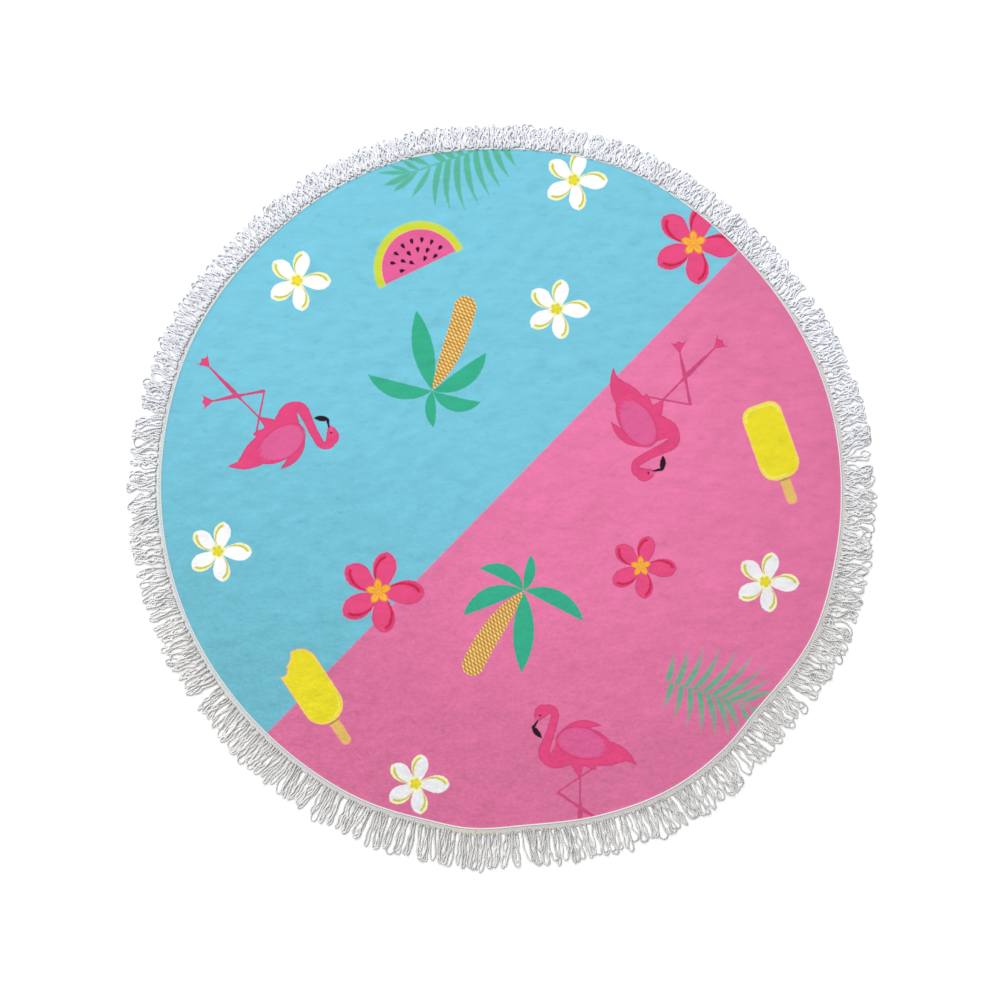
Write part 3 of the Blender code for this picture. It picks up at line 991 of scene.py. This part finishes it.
class TowelHues(bpy.types.PropertyGroup):
    """Colours of the print, the thread and the yarn."""

    pool: ink("Pool blue", "Ground above the slant", 118, 198, 220)
    # Pool blue, deep and Rose, deep are painted shade of the two grounds.
    pool_shaded: ink("Pool blue, deep", "That ground towards the lower left", 109, 185, 203)
    rose: ink("Rose", "Ground below the slant", 233, 120, 168)
    rose_shaded: ink("Rose, deep", "That ground away from the middle", 217, 112, 155)
    petal: ink("Petal", "White flowers", 252, 252, 254)
    petal_shaded: ink("Petal, shaded", "White flowers below the slant", 238, 238, 240)
    petal_rim: ink("Petal rim", "Pale yellow rim of white petals", 245, 246, 178)
    petal_crease: ink("Petal crease", "Crease in white petals", 206, 196, 62)
    flower_eye: ink("Flower eye", "Middle of white flowers", 232, 222, 30)
    flower_eye_dark: ink("Flower eye, dark", "Lobes round that middle", 222, 206, 60)
    pink_petal: ink("Pink petal", "Dark pink flowers", 230, 74, 128)
    pink_petal_band: ink("Pink petal band", "Beyond the crease in dark pink petals", 222, 66, 118)
    pink_petal_edge: ink("Pink petal edge", "Outline of dark pink petals", 206, 66, 116)
    pink_petal_halo: ink("Pink petal halo", "Faint halo of dark pink petals", 222, 122, 172)
    pink_petal_crease: ink("Pink petal crease", "Crease in dark pink petals", 205, 28, 76)
    star: ink("Star", "Middle of dark pink flowers", 250, 180, 58)
    star_line: ink("Star line", "Veins of that middle", 226, 130, 60)
    palm_leaf: ink("Palm leaf", "Palm leaves", 50, 173, 137)
    bark: ink("Bark", "Scales of the palm trunk", 255, 216, 140)
    bark_halo: ink("Bark halo", "Faint scales past the edge of the trunk", 222, 200, 150)
    bark_line: ink("Bark line", "Gaps between those scales", 186, 134, 48)
    flamingo: ink("Flamingo", "Flamingo's body", 226, 70, 126)
    flamingo_wing: ink("Flamingo wing", "Flamingo's wing", 220, 94, 150)
    flamingo_line: ink("Flamingo line", "Outline of the body and the wing", 204, 62, 114)
    flamingo_leg: ink("Flamingo leg", "Flamingo's legs", 204, 72, 124)
    bill: ink("Bill", "Flamingo's bill and eye", 34, 8, 24)
    rind: ink("Rind", "Watermelon rind", 204, 214, 52)
    rind_edge: ink("Rind edge", "Outer edge of that rind", 186, 214, 110)
    rind_line: ink("Rind line", "Line inside that rind", 246, 190, 128)
    melon: ink("Melon", "Watermelon flesh", 226, 94, 152)
    seed: ink("Seed", "Watermelon seeds", 52, 0, 26)
    ice: ink("Ice", "Lolly", 234, 220, 36)
    ice_line: ink("Ice line", "Line round the lolly", 216, 140, 96)
    ice_border: ink("Ice border", "Pale border inside that line", 248, 208, 124)
    ice_gleam: ink("Ice gleam", "Gleam on the lolly", 244, 236, 106)
    stick: ink("Stick", "Lolly's stick", 226, 186, 102)
    stick_shade: ink("Stick shade", "Shade on the stick where it goes into the lolly", 176, 140, 70)
    stick_line: ink("Stick line", "Line round the stick", 238, 172, 122)
    frond: ink("Frond", "Feathered leaves", 80, 176, 138)
    thread: ink("Thread", "Overlock thread", 248, 250, 251)
    thread_dark: ink("Thread, shaded", "Overlock thread in its hollows", 220, 221, 222)
    back: hue("Back", "Unprinted back of the cloth", 240, 240, 238)
    back_dark: hue("Back, shaded", "Hollows of that back", 214, 214, 210)
    tape: hue("Tape", "Heading tape", 224, 219, 216)
    # Painted light on the tape towards the upper left.
    tape_lit: hue("Tape, top", "Heading tape towards the upper left", 240, 250, 253)
    tape_dark: hue("Tape, shaded", "Hollows of the heading tape", 168, 165, 162)
    tape_aged: hue("Tape, yellowed", "Heading tape where its ends meet", 206, 200, 172)
    # Yarn and Yarn, low are painted light tints. Yarn, shaded is painted shade in the ply hollows.
    yarn: hue("Yarn", "Fringe yarn, towards the top", 245, 247, 254)
    yarn_low: hue("Yarn, low", "Fringe yarn, towards the bottom", 249, 248, 246)
    yarn_dark: hue("Yarn, shaded", "Hollows between the plies", 176, 174, 174)


class TowelCloth(bpy.types.PropertyGroup):
    """Sizes of the cloth and of the sewing on it."""

    cells: count_setting("Cells", "Cells across the printed face", 256, 16, 300)
    ripple_slope: number_setting("Ripple slope", "Slope of each soft ripple in the cloth", 0.009)
    stitches: count_setting("Edge stitches", "Overlock stitches round the edge", 1430, 3)
    stitch_thread: size_setting("Thread", "Thickness of the overlock thread", 0.9 * MM)
    seam_stitches: count_setting("Seam stitches", "Stitches along the tape", 620, 3)


class TowelFringe(bpy.types.PropertyGroup):
    """Sizes of the fringe."""

    loops: count_setting("Loops", "Yarn loops round the towel", 700, 12)
    yarn: size_setting("Yarn", "Thickness of the yarn", 3.8 * MM)
    seed: count_setting("Seed", "Picks how the loops lie", 5)


class TowelStage(bpy.types.PropertyGroup):
    """Floor, light and camera."""

    height: size_setting("Camera height", "Camera above the floor", 4.746)
    key: number_setting("Key light", "Strength of the broad light overhead", 1.9)
    side: number_setting("Side light", "Power of the soft light beyond the top, in watts", 120.0)
    fill: number_setting("Fill light", "Brightness of the surroundings", 0.36)


# ---------------------------------------------------------------- pieces


def cloth_top_height(x, y, share, slope):
    """Height of the printed face: its thickness, the long swells, and soft ripples."""
    height = np.zeros_like(x)
    for swell in SWELLS:
        heading = math.radians(swell.heading_deg)
        along = x * math.cos(heading) + y * math.sin(heading)
        phase = math.radians(swell.start_deg) + TAU * along / (swell.length_mm * MM)
        height += swell.rise_mm * MM * np.sin(phase)
    height += ripples(x, y, 3, 60, (0.012, 0.085), 38, slope)
    return CLOTH_THICK + height * smooth_step(1.0, 0.95, share)


def motif_map(points, quads):
    """Each face's slot, and each corner's place in the motif that the face belongs to."""
    corners = points[quads][:, :, :2] / MM
    middle = corners.mean(axis=1)
    slots = np.zeros(len(quads))
    local = np.zeros((len(quads), 4, 2))
    for name, places in MOTIFS.items():
        box = DRAWINGS[name].reach
        for x_mm, y_mm, turn_deg, scale in places:
            turn = math.radians(turn_deg)
            into = np.array([[math.cos(turn), -math.sin(turn)], [math.sin(turn), math.cos(turn)]])
            into = into / scale
            x, y = ((middle - (x_mm, y_mm)) @ into).T
            held = (x > box.left) & (x < box.right) & (y > box.low) & (y < box.high)
            slots[held] = 1 + list(DRAWINGS).index(name)
            local[held] = (corners[held] - (x_mm, y_mm)) @ into
    return slots, local.reshape(-1, 2)


def make_cloth(sizes, hues):
    """A closed shell: the printed face on a disc grid, the rolled hem, and a flat back.

    The hem is a profile carried round the rim. The back is a disc grid with a quarter of the
    cells, joined to the hem by a strip of triangles, five to each of its border cells.
    """
    cells = sizes.cells
    share, angle = disc_grid(cells)
    share, angle = share.ravel(), angle.ravel()
    face = polar(share * (rim_radius(angle) + HEM_PAST[0]), angle, 0.0)
    face[:, 2] = cloth_top_height(face[:, 0], face[:, 1], share, sizes.ripple_slope)

    border = grid_border(cells)
    around = len(border)
    turn = -TAU / 8 + TAU * np.arange(around) / around
    profile = zip(HEM_PAST[1:], HEM_HEIGHT[1:])
    rings = [polar(rim_radius(turn) + past, turn, height) for past, height in profile]
    hem = np.concatenate(rings)
    hem_start = len(face)
    joined = np.concatenate([border, hem_start + np.arange(len(hem))])
    hem_quads = joined[grid_quads(len(rings) + 1, around, around=True)][:, ::-1]

    few = cells // 4
    share, angle = disc_grid(few)
    back_radius = rim_radius(angle) + HEM_PAST[-1] - 4.0 * MM
    back = polar((share * back_radius).ravel(), angle.ravel(), 0.0)
    back_start = hem_start + len(hem)
    back_quads = back_start + grid_quads(few + 1, few + 1)[:, ::-1]
    outer = hem_start + len(hem) - around + np.arange(around)
    coarse = back_start + grid_border(few)
    near = np.repeat(coarse, 4)
    near = np.where(np.arange(around) % 4 < 2, near, np.repeat(np.roll(coarse, -1), 4))
    strip = np.stack([outer, near, np.roll(outer, -1)], axis=1)
    fill = np.stack([coarse, np.roll(coarse, -1), outer[2::4]], axis=1)

    face_quads = grid_quads(cells + 1, cells + 1)
    faces = [face_quads, hem_quads, back_quads, strip, fill]
    slots, local = motif_map(face, face_quads)
    counts = [len(hem_quads), len(back_quads) + len(strip) + len(fill)]
    slots = np.concatenate([slots, np.repeat([len(DRAWINGS) + 1, len(DRAWINGS) + 2], counts)])
    materials = [printed_pile("plain_ground", None, hues)]
    materials += [printed_pile(name, drawing.function, hues) for name, drawing in DRAWINGS.items()]
    materials += [hem_thread(hues), plain_back(hues)]
    points = np.concatenate([face, hem, back])
    return make_mesh("printed_cloth", points, faces, materials, slots, {"motif": local})


def hem_height(past):
    """Height of the hem's surface at a distance past the printed face."""
    return np.interp(past, HEM_PAST[:HEM_TOP], HEM_HEIGHT[:HEM_TOP])


def make_edge_stitches(sizes):
    """Overlock threads: each slants over the rolled hem from the cloth to the floor."""
    count, radius = sizes.stitches, sizes.stitch_thread / 2
    t = np.linspace(0, 1, 7)
    past = (-0.7 + 3.5 * np.minimum(t / 0.72, 1)) * MM
    height = hem_height(past) + 0.15 * MM
    drop = smooth_step(0.66, 1.0, t)
    height = height * (1 - drop) + 1.0 * MM * drop
    height[0] -= 0.7 * MM
    turn = TAU * np.arange(count)[:, None] / count
    slant = (t - 0.5) * 2.2 * MM
    wobble = np.random.default_rng(7).uniform(-0.3, 0.3, (count, 1)) * MM
    paths = polar(rim_radius(turn) + past, turn, height, slant + wobble)
    thread = bpy.data.materials["hem_thread"]
    return make_strands("edge_stitches", paths, radius, radius, STITCH_SIDES, thread)


def tape_arc_length(turn):
    """Millimetres along the middle of the tape at angles in radians."""
    return turn * (CLOTH_RADIUS + TAPE_START + TAPE_WIDTH / 2) / MM


def ribbon(name, turn, closed, lift, thick, material):
    """The tape's ribbed section, square at its edges, carried round the rim or along an arc."""
    ribs = np.linspace(0, 1, RIB_POINTS)
    ridge = thick * (0.86 + 0.14 * np.cos(TAU * (3.5 * ribs - 0.25)))
    ridge[[0, -1]] = thick * 0.72
    across = np.concatenate([[0.0], ribs * (TAPE_WIDTH - 0.2 * MM) + 0.1 * MM, [TAPE_WIDTH]])
    rise = np.concatenate([[0.0], ridge, [0.0]])
    sides = len(across)
    radius = (rim_radius(turn) + TAPE_START)[:, None] + across
    points = polar(radius, turn[:, None], lift + rise).reshape(-1, 3)
    length = tape_arc_length(np.append(turn, TAU) if closed else turn)
    quads = grid_quads(len(length), sides, around=True)
    weave = np.stack([length[quads // sides], across[quads % sides] / MM], axis=-1).reshape(-1, 2)
    faces = [quads % len(points)]
    if not closed:
        end = np.arange(sides)[None]
        faces += [end[:, ::-1], end + len(points) - sides]
    return make_mesh(name, points, faces, [material], maps={"weave": weave})


def make_tape(hues):
    """The heading tape, and the lapped end that lies on it where its two ends meet."""
    cloth = woven_tape(hues)
    turn = TAU * np.arange(TAPE_STEPS) / TAPE_STEPS
    tape = ribbon("heading_tape", turn, True, 0.0, TAPE_THICK, cloth)
    half = math.radians(JOIN_HALF_SPAN)
    turn = math.radians(JOIN_ANGLE) + np.linspace(-half, half, LAP_STEPS)
    lap = ribbon("tape_lap", turn, False, TAPE_THICK, LAP_THICK, cloth)
    return tape, lap


def make_seam(sizes):
    """Two rows of running stitches that hold the tape, each a short arched thread."""
    count = sizes.seam_stitches
    t = np.linspace(-1, 1, 6)
    rows = []
    for row, past_mm in enumerate(SEAM_ROWS_MM):
        turn = TAU * (np.arange(count)[:, None] + 0.5 * row) / count
        rise = TAPE_THICK + (0.35 - 0.75 * t**4) * MM
        near_join = np.abs((np.degrees(turn) - JOIN_ANGLE + 180) % 360 - 180) < JOIN_HALF_SPAN
        rise = rise + near_join * LAP_THICK
        radius = rim_radius(turn) + TAPE_START + past_mm * MM
        rows.append(polar(radius, turn, rise, t * 2.7 * MM))
    thread = bpy.data.materials["hem_thread"]
    return make_strands("seam_stitches", np.concatenate(rows), 0.45 * MM, 0.36 * MM, STITCH_SIDES, thread)


def fringe_lean(turn_deg, chance):
    """Sideways shift of the tips: away from the notches, and together in small clumps."""
    lean = np.zeros_like(turn_deg)
    for at_deg, opening_mm in NOTCHES:
        away = (turn_deg - at_deg + 180) % 360 - 180
        pull = np.clip(1 - np.abs(away) / NOTCH_SPAN, 0, None)
        lean += np.sign(away) * opening_mm * MM / 2 * pull
    edges = np.cumsum(chance.uniform(*CLUMP_DEG, CLUMP_DRAWS))
    edges = edges[edges < 360 - CLUMP_DEG[0]]
    clump = np.searchsorted(edges, turn_deg)
    low = np.concatenate([[0], edges])[clump]
    high = np.concatenate([edges, [360]])[clump]
    return lean - (turn_deg - (low + high) / 2) * CLUMP_PULL_MM * MM


def loop_paths(sizes):
    """The yarn's course in every loop: (loop, step, xyz), each loop's angle, and its tone: brightness with
    painted light and shade in it.

    t runs from -1 at one root over 0 at the tip to 1 at the other root, and r = |t|. The yarn goes
    out by the reach times 1 - r, rounded off at the tip, and its two legs stand apart by a gap
    that narrows towards the roots. Each loop also waves or curls: to its place is added a small
    circle, run through several times. Then it leans, and lies on the floor, the tape or others.
    """
    chance = np.random.default_rng(sizes.seed)
    count = sizes.loops
    t = np.linspace(-1, 1, LOOP_STEPS)
    r = np.abs(t)
    share = (np.arange(count) + chance.uniform(0.05, 0.95, count)) / count
    angle = [lie.angle_deg for lie in LIES]
    degrees = np.linspace(0, 360, 721)
    crowd = np.cumsum(np.interp(degrees, angle, [lie.crowd for lie in LIES], period=360))
    turn = np.radians(np.interp(share, crowd / crowd[-1], degrees))
    curl, open_mm, cover_mm, stray_mm, bright = (
        np.interp(np.degrees(turn), angle, [lie[k] for lie in LIES], period=360)[:, None]
        for k in range(2, 7)
    )
    knots = np.arange(0.0, 360.0, DRIFT_STEP_DEG)
    drift = np.interp(np.degrees(turn), knots, chance.uniform(-1, 1, len(knots)), period=360)[:, None]
    turn = turn[:, None]

    def pick(start, end):
        return chance.uniform(start, end, (count, 1))

    cover = (cover_mm * pick(0.3, 1.1) + pick(1.2, 3.4)) * MM
    low = smooth_step(0.3, -0.6, np.sin(turn))
    reach = FRINGE_REACH - REACH_SWING * np.sin(turn) + (pick(-6.0, 4.5) - low * pick(0.0, 8.0)) * MM
    whole = reach + cover
    far = math.hypot(1, TIP_BLUNT)
    out = (far - np.hypot(r, TIP_BLUNT)) / (far - TIP_BLUNT)

    gap = open_mm / 2 * MM * pick(0.55, 1.35) * (1 - 0.62 * r**2) * np.tanh(t / 0.09)
    crossing = pick(-0.5, 0.5) + TAU * r * pick(-0.45, 0.45) * (0.4 + 1.4 * curl)
    sideways, upward = gap * np.cos(crossing), gap * np.sin(crossing) * 0.6

    size = (0.4 + 2.4 * curl + 0.13 * stray_mm * np.minimum(1, 2 * curl)) * pick(0.4, 1.1) * MM * (1 - r**6)
    rounds = whole / ((34 - 19 * curl + 0.6 * stray_mm) * pick(0.75, 1.3) * MM)
    phase = TAU * rounds * t + pick(0, TAU) + 0.8 * np.sin(TAU * t * pick(0.5, 1.5) + pick(0, TAU))
    along = whole * out + size * pick(0.1, 1.0) * np.cos(phase)
    sideways = sideways + size * np.sin(phase)
    upward = upward + (0.15 + 0.2 * low) * size * np.sin(phase + pick(0, TAU))

    lean = fringe_lean(np.degrees(turn) % 360, chance) * (1 - 0.7 * curl)
    stray = (0.7 * drift + pick(-0.4, 0.4)) * out + pick(-0.6, 0.6) * out**2
    sideways = sideways + lean * out**1.5 + stray_mm * MM * stray

    past_tape = along - cover
    floor = 0.58 * sizes.yarn + TAPE_THICK * (1 - smooth_step(0.0, 4.0 * MM, past_tape))
    layer = ((np.arange(count) % 3)[:, None] * LAYER_MM + pick(0.0, 1.2)) * (0.4 + 0.6 * low) * MM
    height = floor + layer * smooth_step(0.0, 0.18, out) * (1 - 0.5 * out**3) + upward
    height = floor + np.abs(height - floor)
    radius = rim_radius(turn) + TAPE_START + TAPE_WIDTH + past_tape
    deep = 1 - np.clip(height / (8 * MM), 0, 1)
    # Tone: the painted light of each side, a random share, and painted shade near the roots towards the
    # bottom.
    tone = bright * pick(0.93, 1.07) * (1 - 0.22 * low * (1 - smooth_step(0.0, 0.4, out)))
    # Painted light that lifts the lowest yarn towards the top, where the shadows between the loops fall.
    tone = tone * (1 + 0.35 * deep * smooth_step(0.1, 0.8, np.sin(turn)))
    return polar(radius, turn, height, sideways), turn[:, 0], tone


def make_loops(sizes, hues):
    """The loops, in four pieces, one for each quarter of the towel."""
    paths, turn, tone = loop_paths(sizes)
    quarter = (turn % TAU // (TAU / 4)).astype(int)
    wide, thick = 0.56 * sizes.yarn, 0.38 * sizes.yarn
    yarn = twisted_yarn(hues)
    made = []
    for number in range(4):
        mine = quarter == number
        name = f"fringe_loops_{number + 1}"
        made.append(make_strands(name, paths[mine], wide, thick, LOOP_SIDES, yarn, TWIST_MM, tone[mine]))
    return made


# ---------------------------------------------------------------- operators


class MakeTowelStage(bpy.types.Operator):
    """Adds the pale floor, the soft lights and the camera overhead"""

    bl_idname = "towel.make_stage"
    bl_label = "Floor, light and camera"

    def execute(self, context):
        sizes = context.scene.towel_stage
        square = np.array([[-1, -1, 0], [1, -1, 0], [1, 1, 0], [-1, 1, 0]]) * FLOOR_HALF
        floor = make_mesh("floor", square - (0, 0, 0.1 * MM), [np.arange(4)[None]], [floor_paper()])

        camera = bpy.data.cameras.new("camera")
        camera.lens = 85.0
        camera.sensor_width = 36.0
        camera.clip_end = 100.0
        holder = bpy.data.objects.new("camera", camera)
        holder.location = (-2 * MM, -5 * MM, sizes.height)
        context.scene.collection.objects.link(holder)
        context.scene.camera = holder

        for name, kind, place, spread, power in (
            ("key", "SUN", (-0.9, 1.1, 3.0), math.radians(32), sizes.key),
            ("side", "AREA", (-1.6, 3.4, 3.4), 2.0, sizes.side),
        ):
            lamp = bpy.data.lights.new(name, kind)
            setattr(lamp, "angle" if kind == "SUN" else "size", spread)
            lamp.energy = power
            made = bpy.data.objects.new(name, lamp)
            made.location = place
            away = np.array(place) / np.linalg.norm(place)
            made.rotation_euler = (math.acos(away[2]), 0.0, math.atan2(away[1], away[0]) + TAU / 4)
            context.scene.collection.objects.link(made)

        world = context.scene.world or bpy.data.worlds.new("surroundings")
        context.scene.world = world
        world.use_nodes = True
        sky = world.node_tree.nodes["Background"]
        sky.inputs["Color"].default_value = (1.0, 1.0, 1.0, 1.0)
        sky.inputs["Strength"].default_value = sizes.fill
        context.scene.view_settings.view_transform = "Standard"
        return {"FINISHED"}


class MakeTowelCloth(bpy.types.Operator):
    """Makes the printed cloth with its hem and its overlock stitches"""

    bl_idname = "towel.make_cloth"
    bl_label = "Cloth and hem"

    def execute(self, context):
        sizes, hues = context.scene.towel_cloth, context.scene.towel_hues
        cloth = make_cloth(sizes, hues)
        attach(cloth, "root")
        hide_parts("towel_cloth")
        stitches = make_edge_stitches(sizes)
        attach(stitches, "root")
        return {"FINISHED"}


class MakeTowelFringe(bpy.types.Operator):
    """Makes the heading tape, its seam and the yarn loops"""

    bl_idname = "towel.make_fringe"
    bl_label = "Tape, seam and loops"

    def execute(self, context):
        hues = context.scene.towel_hues
        tape, lap = make_tape(hues)
        seam = make_seam(context.scene.towel_cloth)
        loops = make_loops(context.scene.towel_fringe, hues)
        pieces = [tape, lap, seam, *loops]
        for piece in pieces:
            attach(piece, "root")
        for piece in (tape, *loops):
            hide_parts("looped_fringe")
        return {"FINISHED"}


class TowelPanel(bpy.types.Panel):
    """Shows the towel's operators and settings in the sidebar"""

    bl_idname = "VIEW3D_PT_towel"
    bl_label = "Round Beach Towel"
    bl_space_type = "VIEW_3D"
    bl_region_type = "UI"
    bl_category = "Towel"

    def draw(self, context):
        for operator in (MakeTowelStage, MakeTowelCloth, MakeTowelFringe):
            self.layout.operator(operator.bl_idname)
        for name in SETTINGS:
            group = getattr(context.scene, name)
            box = self.layout.box()
            for key in group.__annotations__:
                box.prop(group, key)


SETTINGS = {
    "towel_hues": TowelHues,
    "towel_cloth": TowelCloth,
    "towel_fringe": TowelFringe,
    "towel_stage": TowelStage,
}
CLASSES = [*SETTINGS.values(), MakeTowelStage, MakeTowelCloth, MakeTowelFringe, TowelPanel]


def register():
    for cls in CLASSES:
        bpy.utils.register_class(cls)
    for name, group in SETTINGS.items():
        setattr(bpy.types.Scene, name, bpy.props.PointerProperty(type=group))


def unregister():
    for name in SETTINGS:
        delattr(bpy.types.Scene, name)
    for cls in reversed(CLASSES):
        bpy.utils.unregister_class(cls)


def main():
    register()
    bpy.ops.towel.make_stage()
    bpy.ops.towel.make_cloth()
    bpy.ops.towel.make_fringe()


if __name__ == "__main__":
    main()
